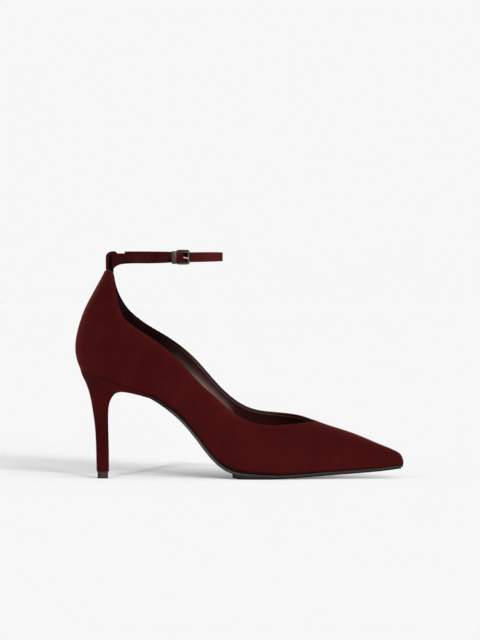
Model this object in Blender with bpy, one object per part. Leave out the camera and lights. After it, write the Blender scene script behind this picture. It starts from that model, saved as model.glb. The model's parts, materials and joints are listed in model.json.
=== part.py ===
"""Pump shoe for the right foot: pointed toe, covered stiletto heel and a buckled ankle strap.

The tables are in millimetres and a mesh is made in metres. In the tables x runs from the back of the
heel counter to the toe, z is the height above the floor, and y is positive on the inner (medial) side.
"""
import math
from collections import namedtuple

import bmesh
import bpy
import numpy as np
from mathutils import Matrix, Vector

MM = 0.001
GAP = 0.3

# Main sizes of the last
LENGTH = 252.5
BALL_WIDTH = 78.0
INSTEP_HEIGHT = 43.8
HEEL_HEIGHT = 84.0
COLLAR_HEIGHT = 159.3
THROAT_X = 185.7

# Material thicknesses
WALL = 1.8
INSOLE_THICK = 2.0
OUTSOLE_THICK = 1.5
STRAP_THICK = 1.5
FOLD_THICK = 0.9

# The sole line seen from the side: height of the feather edge, where upper and sole meet
SoleLine = namedtuple("SoleLine", "x z")
SOLE_LINE = [
    SoleLine(4.2, HEEL_HEIGHT),
    SoleLine(17.0, 78.6),
    SoleLine(32.0, 73.0),
    SoleLine(45.0, 68.9),
    SoleLine(58.0, 64.0),
    SoleLine(70.0, 56.4),
    SoleLine(82.0, 46.2),
    SoleLine(92.0, 35.0),
    SoleLine(101.0, 23.1),
    SoleLine(110.0, 13.0),
    SoleLine(119.0, 7.1),
    SoleLine(128.0, 4.9),
    SoleLine(140.0, 4.0),
    SoleLine(155.0, 3.4),
    SoleLine(189.0, 5.4),
    SoleLine(235.0, 8.6),
    SoleLine(LENGTH, 10.8),
]

# The back of the counter seen from the side
BackLine = namedtuple("BackLine", "z x")
BACK_LINE = [
    BackLine(68.0, 11.8),
    BackLine(77.0, 7.4),
    BackLine(HEEL_HEIGHT, 4.2),
    BackLine(90.0, 1.6),
    BackLine(96.0, 0.3),
    BackLine(101.6, 0.0),
    BackLine(108.0, 0.7),
    BackLine(116.0, 2.6),
    BackLine(124.0, 5.0),
    BackLine(132.0, 8.3),
    BackLine(140.0, 12.5),
    BackLine(148.0, 17.0),
    BackLine(155.5, 21.2),
    BackLine(COLLAR_HEIGHT, 23.2),
]

# The ridge of the last seen from the side, from the toe tip over the vamp and on up the instep
Ridge = namedtuple("Ridge", "x z")
RIDGE = [
    Ridge(LENGTH, 12.4),
    Ridge(252.0, 14.9),
    Ridge(250.4, 18.3),
    Ridge(246.6, 21.1),
    Ridge(235.0, 25.9),
    Ridge(219.6, 32.1),
    Ridge(204.2, 37.5),
    Ridge(THROAT_X, INSTEP_HEIGHT),
    Ridge(174.0, 50.0),
    Ridge(161.0, 58.0),
    Ridge(150.0, 66.5),
    Ridge(135.0, 80.0),
    Ridge(120.0, 95.0),
    Ridge(105.0, 111.0),
    Ridge(90.0, 127.0),
    Ridge(75.0, 142.0),
    Ridge(58.0, 157.0),
    Ridge(42.0, 167.0),
]

# Cross sections of the last: half widths at the feather edge and at the widest height, as shares of
# the ball width, how far above the feather edge that height is, where the ridge lies, and how full
# each side is between its widest height and the ridge (1 is a straight slope, 2 an ellipse)
Section = namedtuple("Section", "x edge_lat edge_med wide_lat wide_med wide_up ridge_y full_lat full_med")
SECTIONS = [
    Section(42.0, 0.308, 0.301, 0.391, 0.391, 31.0, 0.0, 2.00, 2.0),
    Section(58.0, 0.282, 0.263, 0.380, 0.380, 31.0, 0.5, 2.00, 2.0),
    Section(75.0, 0.250, 0.224, 0.364, 0.369, 31.0, 1.0, 2.00, 2.0),
    Section(90.0, 0.250, 0.218, 0.367, 0.374, 27.0, 2.0, 1.95, 2.0),
    Section(105.0, 0.295, 0.263, 0.400, 0.405, 24.0, 3.0, 1.85, 2.0),
    Section(120.0, 0.378, 0.353, 0.447, 0.447, 19.0, 3.5, 1.70, 2.0),
    Section(135.0, 0.442, 0.429, 0.485, 0.485, 14.5, 3.5, 1.60, 2.0),
    Section(150.0, 0.464, 0.468, 0.497, 0.503, 12.0, 3.5, 1.60, 2.0),
    Section(165.0, 0.440, 0.468, 0.472, 0.500, 11.0, 3.2, 1.60, 2.0),
    Section(180.0, 0.387, 0.438, 0.418, 0.467, 10.5, 3.0, 1.60, 2.0),
    Section(195.0, 0.327, 0.385, 0.356, 0.413, 9.5, 3.0, 1.65, 2.0),
    Section(210.0, 0.263, 0.323, 0.287, 0.346, 8.3, 3.0, 1.75, 2.0),
    Section(225.0, 0.192, 0.254, 0.213, 0.272, 7.0, 2.8, 1.90, 2.0),
    Section(238.0, 0.128, 0.187, 0.145, 0.200, 5.3, 2.5, 2.00, 2.0),
    Section(247.5, 0.072, 0.128, 0.085, 0.138, 3.6, 2.4, 2.00, 2.0),
    Section(LENGTH, 0.037, 0.099, 0.046, 0.105, 1.4, 2.4, 2.00, 2.0),
]
HEEL_AXIS_X = 42.0
HEEL_ROUNDNESS = 2.2
NOSE_X = 247.5
NOSE_Y = 2.4

# The collar from the throat of the vamp back to the top of the heel tab, on both sides
Topline = namedtuple("Topline", "lat_x lat_z med_x med_z")
TOPLINE = [
    Topline(THROAT_X, INSTEP_HEIGHT, THROAT_X, INSTEP_HEIGHT),
    Topline(183.8, 43.35, 183.8, 44.3),
    Topline(179.0, 43.0, 179.5, 45.9),
    Topline(172.0, 42.7, 174.0, 47.8),
    Topline(161.0, 41.7, 161.0, 50.0),
    Topline(150.0, 41.3, 150.5, 50.8),
    Topline(139.5, 42.7, 139.0, 52.3),
    Topline(128.7, 46.5, 128.0, 56.6),
    Topline(118.0, 53.9, 116.2, 65.3),
    Topline(107.3, 63.6, 104.1, 77.7),
    Topline(96.7, 73.7, 93.4, 90.0),
    Topline(85.3, 86.9, 82.5, 99.8),
    Topline(70.0, 100.6, 70.2, 108.5),
    Topline(58.2, 110.2, 59.5, 114.8),
    Topline(45.0, 118.7, 46.0, 124.0),
    Topline(37.5, 125.4, 37.5, 133.5),
    Topline(32.8, 137.2, 32.6, 142.8),
    Topline(30.2, 149.0, 30.2, 150.0),
    Topline(29.3, 155.5, 29.3, 155.5),
    Topline(28.7, 158.0, 28.7, 158.0),
    Topline(27.3, 159.2, 27.3, 159.2),
    Topline(23.2, COLLAR_HEIGHT, 23.2, COLLAR_HEIGHT),
]

# Rings of the covered heel from the seat down to the top piece
HeelRing = namedtuple("HeelRing", "back_x back_z breast_x breast_z flare")
SEAT_FRONT_X = 58.0
HEEL_RINGS = [
    HeelRing(5.8, 78.8, 57.8, 61.9, 0.97),
    HeelRing(7.7, 75.4, 50.5, 64.0, 0.91),
    HeelRing(9.1, 72.3, 42.8, 65.9, 0.83),
    HeelRing(10.2, 69.2, 36.3, 67.0, 0.73),
    HeelRing(11.2, 66.1, 31.4, 65.9, 0.63),
    HeelRing(12.0, 63.0, 28.2, 62.9, 0.545),
    HeelRing(12.9, 58.4, 26.0, 58.2, 0.45),
    HeelRing(13.9, 52.3, 25.2, 52.3, 0.375),
    HeelRing(15.1, 44.6, 25.2, 44.6, 0.31),
    HeelRing(16.1, 35.3, 25.4, 35.3, 0.26),
    HeelRing(16.5, 23.0, 25.8, 23.0, 0.22),
    HeelRing(16.8, 5.5, 26.0, 5.5, 0.205),
]
TOP_PIECE_EDGE = 0.25

# The forepart tread: flat on the floor under the ball, stepped at its back end
TREAD_BACK_X = 121.0
TREAD_FRONT_X = LENGTH - 1.6
TREAD_INSET = 0.8
TreadLine = namedtuple("TreadLine", "x z")
TREAD_FLAT_END_X = 146.0
TREAD_LINE = [
    TreadLine(TREAD_FLAT_END_X, 0.0),
    TreadLine(157.0, 0.35),
    TreadLine(173.0, 1.35),
    TreadLine(189.0, 2.5),
    TreadLine(212.0, 4.1),
    TreadLine(235.0, 5.8),
    TreadLine(LENGTH, 7.9),
]

# The ankle strap in plan: an oval with a longer back half, lateral side towards -y
OVAL_X = 76.6
OVAL_BACK = 50.0
OVAL_FRONT = 36.2
OVAL_SIDE = 29.0
HINGE_TURN = 93.4
BAR_TURN = 107.6
HINGE_OUT = -0.6
BAR_OUT = 1.3
FRAME_MID_Z = 169.8
FRAME_HALF = 4.6
FRAME_BAR = 0.8
FRAME_CORNER = 0.9
FOLD_RADIUS = 1.5
PRONG_RADIUS = 0.5
PRONG_CLEARANCE = 0.35
PRONG_EYE_Z = 170.4
PRONG_TIP_Z = 168.7
KEEPER_TURN = 89.9
KEEPER_WIDTH = 2.1
KEEPER_THICK = 0.6

# The strap from its free tail through the buckle, round the ankle and back to the buckle's hinge bar:
# turn is the angle round the oval from its back, out is how far it stands off the oval
StrapRow = namedtuple("StrapRow", "turn out mid_z half_width thick")
STRAP_ROWS = [
    StrapRow(43.0, 1.9, 170.1, 3.45, STRAP_THICK),
    StrapRow(60.0, 1.9, 170.1, 3.45, STRAP_THICK),
    StrapRow(76.0, 2.0, 170.0, 3.45, STRAP_THICK),
    StrapRow(86.0, 2.3, 169.9, 3.45, STRAP_THICK),
    StrapRow(HINGE_TURN, 2.5, FRAME_MID_Z, 3.4, STRAP_THICK),
    StrapRow(100.0, 1.1, FRAME_MID_Z, 3.4, STRAP_THICK),
    StrapRow(BAR_TURN, -0.6, FRAME_MID_Z, 3.4, STRAP_THICK),
    StrapRow(119.0, 0.0, 169.9, 3.4, STRAP_THICK),
    StrapRow(180.0, 0.0, 170.1, 3.2, STRAP_THICK),
    StrapRow(270.0, 0.0, 169.7, 3.4, STRAP_THICK),
    StrapRow(322.0, 0.0, 168.9, 3.45, STRAP_THICK),
    StrapRow(334.0, 0.0, 168.2, 4.1, STRAP_THICK),
    StrapRow(345.0, 0.0, 166.9, 5.2, STRAP_THICK),
    StrapRow(360.0, 0.0, 166.7, 5.3, STRAP_THICK),
    StrapRow(375.0, 0.0, 166.9, 5.2, STRAP_THICK),
    StrapRow(386.0, 0.0, 168.2, 4.1, STRAP_THICK),
    StrapRow(398.0, 0.0, 168.9, 3.45, STRAP_THICK),
    StrapRow(434.0, 0.0, 169.3, 3.45, STRAP_THICK),
    StrapRow(446.0, 0.4, 169.6, 3.4, 1.2),
    StrapRow(360.0 + HINGE_TURN, HINGE_OUT + FOLD_RADIUS, FRAME_MID_Z, 3.4, FOLD_THICK),
]
FOLD_BACK_TURN = 75.0
FOLD_BACK_OUT = -1.65

# The loop on the heel tab that carries the strap: a teardrop seen from the side
LOOP_HALF_TURN = 10.5
LoopRow = namedtuple("LoopRow", "z back front wall")
LOOP_ROWS = [
    LoopRow(160.8, 1.0, 0.2, 1.2),
    LoopRow(160.9, 1.4, 0.7, 1.2),
    LoopRow(161.4, 1.5, 1.1, 1.2),
    LoopRow(162.8, 1.45, 1.6, 1.2),
    LoopRow(164.8, 1.45, 2.3, 1.2),
    LoopRow(167.2, 1.45, 3.0, 1.3),
    LoopRow(169.4, 1.4, 3.5, 1.3),
    LoopRow(171.2, 1.3, 3.7, 1.3),
    LoopRow(172.1, 1.0, 3.2, 1.3),
    LoopRow(172.5, 0.2, 2.7, 1.8),
    LoopRow(172.6, -0.8, 2.0, 2.2),
]

# Finish of each material: colour, roughness and metalness
Finish = namedtuple("Finish", "colour rough metal")
FINISHES = {
    "suede": Finish((0.055, 0.006, 0.007), 0.95, 0.0),
    "lining_leather": Finish((0.030, 0.014, 0.012), 0.45, 0.0),
    "sole_leather": Finish((0.045, 0.042, 0.038), 0.55, 0.0),
    "rubber": Finish((0.020, 0.020, 0.020), 0.70, 0.0),
    "gunmetal": Finish((0.130, 0.110, 0.105), 0.35, 1.0),
    "satin_metal": Finish((0.300, 0.275, 0.250), 0.40, 1.0),
}


def smooth(knots, values):
    """A smooth curve through the knots as a function: a natural cubic spline, sampled finely."""
    knots = np.array(knots, float)
    values = np.array(values, float)
    steps = np.diff(knots)
    slopes = np.diff(values) / steps
    system = np.eye(len(knots))
    bends = np.zeros(len(knots))
    for i in range(1, len(knots) - 1):
        system[i, i - 1:i + 2] = steps[i - 1], 2 * (steps[i - 1] + steps[i]), steps[i]
        bends[i] = 6 * (slopes[i] - slopes[i - 1])
    bends = np.linalg.solve(system, bends)
    fine = np.linspace(knots[0], knots[-1], 60 * len(knots))
    span = np.clip(np.searchsorted(knots, fine) - 1, 0, len(steps) - 1)
    after = (fine - knots[span]) / steps[span]
    before = 1 - after
    bow = (before ** 3 - before) * bends[span] + (after ** 3 - after) * bends[span + 1]
    heights = before * values[span] + after * values[span + 1] + bow * steps[span] ** 2 / 6
    return lambda x: np.interp(x, fine, heights)


def column(table, name):
    """One named column of a table."""
    return [getattr(row, name) for row in table]


def graph(table, across, up):
    """A smooth function of one column of a table against another."""
    return smooth(column(table, across), column(table, up))


def outline(xs, zs):
    """A smooth outline in the side view through the points (x, z), as two fine lists."""
    reach = np.concatenate([[0.0], np.cumsum(np.hypot(np.diff(xs), np.diff(zs)))])
    fine = np.linspace(0.0, reach[-1], 900)
    return smooth(reach, xs)(fine), smooth(reach, zs)(fine)


# The last as functions
SIDES = {"lat": -1.0, "med": 1.0}
feather_z = graph(SOLE_LINE, "x", "z")
back_x = graph(BACK_LINE, "z", "x")
tread_z = graph(TREAD_LINE, "x", "z")
wide_up = graph(SECTIONS, "x", "wide_up")
ridge_y = graph(SECTIONS, "x", "ridge_y")
edge_width = {side: graph(SECTIONS, "x", "edge_" + side) for side in SIDES}
wide_width = {side: graph(SECTIONS, "x", "wide_" + side) for side in SIDES}
fullness = {side: graph(SECTIONS, "x", "full_" + side) for side in SIDES}
ridge_line = outline(column(RIDGE, "x"), column(RIDGE, "z"))
collar_line = {
    side: outline(column(TOPLINE, side + "_x"), column(TOPLINE, side + "_z")) for side in SIDES
}


def ridge_z(x):
    """Height of the last's ridge above the floor."""
    return np.interp(x, ridge_line[0][::-1], ridge_line[1][::-1])


def section_width(side, x, z):
    """Distance of the last's side from y = 0 at height z of the cross section at x."""
    low = feather_z(x)
    middle = low + wide_up(x)
    edge = edge_width[side](x) * BALL_WIDTH
    wide = wide_width[side](x) * BALL_WIDTH
    shift = SIDES[side] * ridge_y(x)
    below = np.clip((z - low) / (middle - low), 0.0, 1.0)
    above = np.clip((z - middle) / (ridge_z(x) - middle), 0.0, 1.0)
    lower = edge + (wide - edge) * np.sin(below * math.pi / 2)
    full = fullness[side](x)
    upper = shift + (wide - shift) * (1 - above ** full) ** (1 / full)
    width = np.where(z < middle, lower, upper)
    nose = np.clip((x - NOSE_X) / (LENGTH - NOSE_X), 0.0, 1.0)
    tip = SIDES[side] * NOSE_Y
    return tip + (width - tip) * np.sqrt(1 - nose ** 2)


def heel_turn(x, z):
    """Angle round the heel of the point at x and z: 0 at the heel's axis, 90 degrees at its back."""
    reach = (HEEL_AXIS_X - x) / (HEEL_AXIS_X - back_x(z))
    return np.arcsin(np.clip(reach, 0.0, 1.0) ** (HEEL_ROUNDNESS / 2))


def last_width(side, x, z):
    """Distance of the last's side from y = 0 anywhere on the shoe."""
    along = np.cos(heel_turn(x, z)) ** (2 / HEEL_ROUNDNESS)
    return section_width(side, np.maximum(x, HEEL_AXIS_X), z) * along


def sole_width(side, x):
    """Half width of the sole outline, at the feather edge."""
    return last_width(side, x, feather_z(x))


def sole_slope(x):
    """How much longer the sole line is than its plan at x."""
    return math.hypot(1.0, (feather_z(x + 0.5) - feather_z(x - 0.5)))


def resample(points, count):
    """The same line of points divided into equal lengths."""
    points = np.array(points)
    reach = np.concatenate([[0.0], np.cumsum(np.linalg.norm(np.diff(points, axis=0), axis=1))])
    even = np.linspace(0.0, reach[-1], count)
    return np.stack([np.interp(even, reach, points[:, axis]) for axis in range(3)], axis=1)


def add_piece(name, finish, points, faces):
    """One named piece from its points and faces, joined where points coincide."""
    build = bmesh.new()
    corners = [build.verts.new(Vector(point) * MM) for point in points]
    for face in faces:
        build.faces.new([corners[i] for i in face])
    bmesh.ops.remove_doubles(build, verts=build.verts, dist=1e-6)
    bmesh.ops.dissolve_degenerate(build, edges=build.edges, dist=1e-7)
    bmesh.ops.recalc_face_normals(build, faces=build.faces)
    mesh = bpy.data.meshes.new(name)
    build.to_mesh(mesh)
    build.free()
    piece = bpy.data.objects.new(name, mesh)
    bpy.context.scene.collection.objects.link(piece)
    mesh.materials.append(material(finish))
    return piece


def material(name):
    """The named material, made the first time that it is asked for."""
    found = bpy.data.materials.get(name)
    if found:
        return found
    finish = FINISHES[name]
    made = bpy.data.materials.new(name)
    made.use_nodes = True
    shader = made.node_tree.nodes["Principled BSDF"]
    shader.inputs["Base Color"].default_value = (*finish.colour, 1.0)
    shader.inputs["Roughness"].default_value = finish.rough
    shader.inputs["Metallic"].default_value = finish.metal
    return made


def loft(name, finish, rings, closed=False):
    """A solid through rings of points: capped at both ends, or closed on itself."""
    size = len(rings[0])
    points = [point for ring in rings for point in ring]
    faces = []
    spans = len(rings) if closed else len(rings) - 1
    for k in range(spans):
        near = k * size
        far = ((k + 1) % len(rings)) * size
        for i in range(size):
            j = (i + 1) % size
            faces.append((near + i, near + j, far + j, far + i))
    if not closed:
        for start in (0, (len(rings) - 1) * size):
            for i in range(size // 2 - 1):
                mate = size - 1 - i
                faces.append((start + i, start + i + 1, start + mate - 1, start + mate))
    return add_piece(name, finish, points, faces)


# Upper: ribs run from the feather edge up to the ridge, or up to the collar behind the throat
RIB_POINTS = 13
NOSE_RIBS = 6
VAMP_RIBS = 11
SIDE_RIBS = 28
HEEL_RIBS = 16


def rib_stations():
    """Places of the ribs from the toe back to the heel's axis, close together at the throat."""
    turns = np.linspace(0.0, math.pi / 2, NOSE_RIBS)
    nose = NOSE_X + (LENGTH - NOSE_X) * np.cos(turns)
    vamp = np.linspace(NOSE_X, THROAT_X, VAMP_RIBS)[1:]
    sides = THROAT_X - (THROAT_X - HEEL_AXIS_X) * np.linspace(0.0, 1.0, SIDE_RIBS)[1:] ** 1.5
    return np.concatenate([nose, vamp, sides])


def cross_rib(side, x):
    """A rib across the shoe at x."""
    top = ridge_z(x)
    if x < THROAT_X - 0.01:
        top = np.interp(x, collar_line[side][0][::-1], collar_line[side][1][::-1])
    low = feather_z(x)
    heights = low + (top - low) * np.sin(np.linspace(0.0, math.pi / 2, 160))
    widths = last_width(side, x, heights)
    fine = [(x, SIDES[side] * width, height) for width, height in zip(widths, heights)]
    return resample(fine, RIB_POINTS)


def heel_rib(side, turn):
    """A rib up the heel counter at an angle round the heel."""
    seat_x = np.linspace(HEEL_AXIS_X, SOLE_LINE[0].x, 400)
    seat_z = feather_z(seat_x)
    low = np.interp(turn, heel_turn(seat_x, seat_z), seat_z)
    collar_x, collar_z = collar_line[side]
    behind = collar_x <= HEEL_AXIS_X
    top = np.interp(turn, heel_turn(collar_x[behind], collar_z[behind]), collar_z[behind])
    heights = np.linspace(low, top, 160)
    reach = (HEEL_AXIS_X - back_x(heights)) * math.sin(turn) ** (2 / HEEL_ROUNDNESS)
    along = max(math.cos(turn), 0.0) ** (2 / HEEL_ROUNDNESS)
    widths = section_width(side, HEEL_AXIS_X, heights) * along
    fine = np.stack([HEEL_AXIS_X - reach, SIDES[side] * widths, heights], axis=1)
    return resample(fine, RIB_POINTS)


def make_upper():
    """The upper as one wall of even thickness, open at the collar and underneath."""
    turns = math.pi / 2 * np.linspace(0.0, 1.0, HEEL_RIBS)[1:] ** 1.4
    points = []
    faces = []
    for side in SIDES:
        ribs = [cross_rib(side, x) for x in rib_stations()]
        ribs += [heel_rib(side, turn) for turn in turns]
        start = len(points)
        points += [point for rib in ribs for point in rib]
        for i in range(len(ribs) - 1):
            for j in range(RIB_POINTS - 1):
                here = start + i * RIB_POINTS + j
                faces.append((here, here + 1, here + RIB_POINTS + 1, here + RIB_POINTS))
    upper = add_piece("upper", "suede", points, faces)
    middle = Vector(np.mean(points, axis=0)) * MM
    if sum(face.normal.dot(face.center - middle) * face.area for face in upper.data.polygons) < 0:
        upper.data.flip_normals()
    wall = upper.modifiers.new("wall", "SOLIDIFY")
    wall.thickness = WALL * MM
    wall.offset = -1.0
    wall.use_even_offset = True
    wall.use_quality_normals = True
    wall.use_rim = True
    return upper


def sole_ring(x, inset, top, bottom, chamfer):
    """The cross section at x of a layer under the foot."""
    half = {side: sole_width(side, x) - inset for side in SIDES}
    return layer_ring(x, half, top, bottom, chamfer)


def layer_ring(x, half, top, bottom, chamfer):
    """Four corners of a layer at x from its half widths, its top and its bottom."""
    ring = []
    for side, height, cut in (
        ("lat", top, 0.0),
        ("med", top, 0.0),
        ("med", bottom, chamfer),
        ("lat", bottom, chamfer),
    ):
        ring.append((x, SIDES[side] * max(half[side] - cut, 0.3), height))
    return ring


def toe_stations(front, back, count):
    """Places along the shoe that crowd together at the rounded toe end."""
    turns = np.linspace(0.0, math.pi / 2, 5)
    rounded = front - 4.0 * (1 - np.cos(turns))
    return list(rounded) + list(np.linspace(front - 4.0, back, count))[1:]


def heel_stations(front, back, count):
    """Places along the shoe that crowd together at the rounded heel end."""
    turns = np.linspace(0.0, math.pi / 2, count)
    return list(back + (front - back) * (1 - np.sin(turns)))


def insole_width(side, x, inset):
    """Half width of the insole: the sole outline drawn in by the wall, smaller all round at the heel."""
    if x >= HEEL_AXIS_X:
        return sole_width(side, x) - inset
    seat = HEEL_AXIS_X - SOLE_LINE[0].x
    spread = seat / (seat - inset - GAP)
    wide = sole_width(side, HEEL_AXIS_X)
    return sole_width(side, HEEL_AXIS_X - (HEEL_AXIS_X - x) * spread) * (wide - inset) / wide


def make_insole():
    """The covered insole board from the toe to the back of the heel."""
    inset = WALL + 2 * GAP
    places = toe_stations(LENGTH - 5.0, HEEL_AXIS_X, 34)
    places += heel_stations(HEEL_AXIS_X, SOLE_LINE[0].x + inset + GAP, 10)[1:]
    rings = []
    for x in places:
        low = feather_z(x)
        half = {side: insole_width(side, x, inset) for side in SIDES}
        rings.append(layer_ring(x, half, low + INSOLE_THICK * sole_slope(x), low, 0.0))
    return loft("insole", "lining_leather", rings)


def outsole_bottom(x):
    """Underside of the thin outsole."""
    return feather_z(x) - GAP - OUTSOLE_THICK * sole_slope(x)


def make_outsole():
    """The thin outsole from the toe to the front lip of the heel."""
    rings = []
    for x in toe_stations(LENGTH - 0.3, SEAT_FRONT_X + GAP, 34):
        rings.append(sole_ring(x, 0.0, feather_z(x) - GAP, outsole_bottom(x), 0.4))
    return loft("outsole", "sole_leather", rings)


def tread_bottom(x):
    """Underside of the tread: flat under the ball, then rising to the toe."""
    return tread_z(x) if x > TREAD_FLAT_END_X else 0.0


def make_tread():
    """The forepart tread under the outsole, with a stepped end at the waist."""
    rings = []
    for x in toe_stations(TREAD_FRONT_X, TREAD_BACK_X, 24):
        rings.append(sole_ring(x, TREAD_INSET, outsole_bottom(x) - GAP, tread_bottom(x), 0.3))
    return loft("forepart_tread", "rubber", rings)


# Heel: every ring keeps the outline of the seat, narrowed and shortened
HEEL_SIDE_POINTS = 11


def seat_outline(side, share):
    """Half width of the seat at a share of the way from its back to its front."""
    x = SOLE_LINE[0].x + (SEAT_FRONT_X - SOLE_LINE[0].x) * share
    return sole_width(side, x) + 0.2 * math.sqrt(share)


def heel_ring(back, breast, flare, lift=None):
    """One ring of the heel, from its back along the lateral side and round the breast."""
    shares = 1 - np.cos(np.linspace(0.0, math.pi / 2, HEEL_SIDE_POINTS))
    ring = []
    for side, order in (("lat", shares), ("med", shares[::-1])):
        for share in order:
            x = back[0] + (breast[0] - back[0]) * share
            z = back[1] + (breast[1] - back[1]) * share if lift is None else lift(x)
            ring.append((x, SIDES[side] * seat_outline(side, share) * flare, z))
    return ring


def make_heel():
    """The covered heel: a cup under the seat with a front lip, running into a thin stem."""
    seat = (SOLE_LINE[0].x, 0.0)
    front = (SEAT_FRONT_X, 0.0)
    rings = [heel_ring(seat, front, 1.0, lambda x: feather_z(x) - GAP)]
    for row in HEEL_RINGS:
        rings.append(heel_ring((row.back_x, row.back_z), (row.breast_x, row.breast_z), row.flare))
    return loft("heel", "suede", rings)


def make_top_piece():
    """The hard rubber top piece that the heel stands on."""
    tip = HEEL_RINGS[-1]
    rings = []
    for height, cut in ((tip.back_z - GAP, 0.0), (TOP_PIECE_EDGE, 0.0), (0.0, TOP_PIECE_EDGE)):
        back = (tip.back_x + cut, height)
        breast = (tip.breast_x - cut, height)
        rings.append(heel_ring(back, breast, tip.flare * (1 - cut / 5.0)))
    return loft("top_piece", "rubber", rings)


def oval(turn, out):
    """A point in plan at an angle round the ankle oval, standing off it by out."""
    angle = math.radians(turn)
    length = OVAL_BACK if math.cos(angle) > 0 else OVAL_FRONT
    place = Vector((OVAL_X - length * math.cos(angle), -OVAL_SIDE * math.sin(angle)))
    outward = Vector((-OVAL_SIDE * math.cos(angle), -length * math.sin(angle))).normalized()
    return place + outward * out


def left_hand(points):
    """The direction to the left of a line in plan at each of its points."""
    normals = []
    for i in range(len(points)):
        ahead = points[min(i + 1, len(points) - 1)] - points[max(i - 1, 0)]
        normals.append(Vector((-ahead.y, ahead.x)).normalized())
    return normals


def plan_point(place, z):
    """A point of the shoe from its place in plan and its height."""
    return (place.x, place.y, z)


def fold_points():
    """The strap's end turned round the hinge bar and laid back under itself."""
    centre = oval(HINGE_TURN, HINGE_OUT)
    outward = (oval(HINGE_TURN, 1.0) - oval(HINGE_TURN, 0.0)).normalized()
    forward = Vector((-outward.y, outward.x))
    if forward.x < 0:
        forward = -forward
    turned = []
    for angle in np.radians((30, 60, 90, 120, 150, 180)):
        turned.append(centre + FOLD_RADIUS * (math.cos(angle) * outward + math.sin(angle) * forward))
    for share in np.linspace(0.0, 1.0, 6)[1:]:
        turn = HINGE_TURN + (FOLD_BACK_TURN - HINGE_TURN) * share
        drop = HINGE_OUT - FOLD_RADIUS
        ease = min(1.0, share * 1.7)
        turned.append(oval(turn, drop + (FOLD_BACK_OUT - drop) * ease))
    return turned


def make_ankle_strap():
    """One strip of leather: tail, buckle, round the ankle, heel loop and the fold on the buckle."""
    rows = {name: graph(STRAP_ROWS, "turn", name) for name in StrapRow._fields[1:]}
    first = STRAP_ROWS[0].turn
    last = STRAP_ROWS[-1].turn
    turns = list(np.arange(first, 76.0, 6.0)) + list(np.arange(76.0, 120.0, 2.2))
    turns += list(np.arange(120.0, 330.0, 6.0)) + list(np.arange(330.0, 396.0, 4.0))
    turns += list(np.arange(396.0, 434.0, 6.0)) + list(np.linspace(434.0, last, 7))
    path = [oval(turn, rows["out"](turn)) for turn in turns]
    sizes = [[rows[name](turn) for name in ("mid_z", "half_width", "thick")] for turn in turns]
    folded = fold_points()
    path += folded
    sizes += [sizes[-1]] * len(folded)
    rings = []
    for place, aside, (mid_z, half, thick) in zip(path, left_hand(path), sizes):
        near = place - aside * thick / 2
        far = place + aside * thick / 2
        low = mid_z - half
        high = mid_z + half
        rings.append([plan_point(*spot) for spot in ((near, low), (far, low), (far, high), (near, high))])
    return loft("ankle_strap", "suede", rings)


def rod(name, finish, path, radius, points=8):
    """A round rod along a line in plan, as (place, height) pairs."""
    places = [place for place, height in path]
    rings = []
    for (place, height), aside in zip(path, left_hand(places)):
        ring = []
        for angle in np.linspace(0.0, 2 * math.pi, points, endpoint=False):
            spot = place + aside * radius * math.cos(angle)
            ring.append(plan_point(spot, height + radius * math.sin(angle)))
        rings.append(ring)
    return loft(name, finish, rings)


def make_buckle_frame():
    """The square buckle frame, tilted so that its front bar lies over the strap."""
    hinge = oval(HINGE_TURN, HINGE_OUT)
    bar = oval(BAR_TURN, BAR_OUT)
    span = bar - hinge
    forward = span.normalized()
    aside = Vector((-forward.y, forward.x))
    middle = (hinge + bar) / 2
    rings = []
    for right, up, start in ((1, 1, 0), (-1, 1, 90), (-1, -1, 180), (1, -1, 270)):
        for step in range(4):
            turn = math.radians(start + 30 * step)
            along = right * (span.length / 2 - FRAME_CORNER) + FRAME_CORNER * math.cos(turn)
            rise = up * (FRAME_HALF - FRAME_CORNER) + FRAME_CORNER * math.sin(turn)
            ring = []
            for angle in np.linspace(0.0, 2 * math.pi, 8, endpoint=False):
                swell = FRAME_BAR * math.cos(angle)
                place = middle + forward * (along + swell * math.cos(turn))
                place = place + aside * FRAME_BAR * 0.85 * math.sin(angle)
                ring.append(plan_point(place, FRAME_MID_Z + rise + swell * math.sin(turn)))
            rings.append(ring)
    return loft("buckle_frame", "gunmetal", rings, closed=True)


def prong_path():
    """The prong: an eye round the hinge bar, then a straight tongue that rests on the front bar."""
    hinge = oval(HINGE_TURN, HINGE_OUT)
    outward = (oval(BAR_TURN, BAR_OUT) - hinge).normalized()
    aside = Vector((-outward.y, outward.x))
    if aside.y > 0:
        aside = -aside
    eye = FRAME_BAR + 0.2 + PRONG_RADIUS
    path = []
    for angle in np.radians((235, 205, 175, 145, 115, 85, 55, 25)):
        place = hinge + eye * (math.cos(angle) * outward - math.sin(angle) * aside)
        path.append((place, PRONG_EYE_Z))
    rest = FRAME_BAR * 0.85 + PRONG_RADIUS + GAP
    tip = oval(BAR_TURN, BAR_OUT) + aside * rest + outward * 0.9
    start = path[-1][0]
    for share in (0.3, 0.5, 0.7, 0.85, 1.0):
        height = PRONG_EYE_Z + (PRONG_TIP_Z - PRONG_EYE_Z) * share
        path.append((start + (tip - start) * share, height))
    return path


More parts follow.
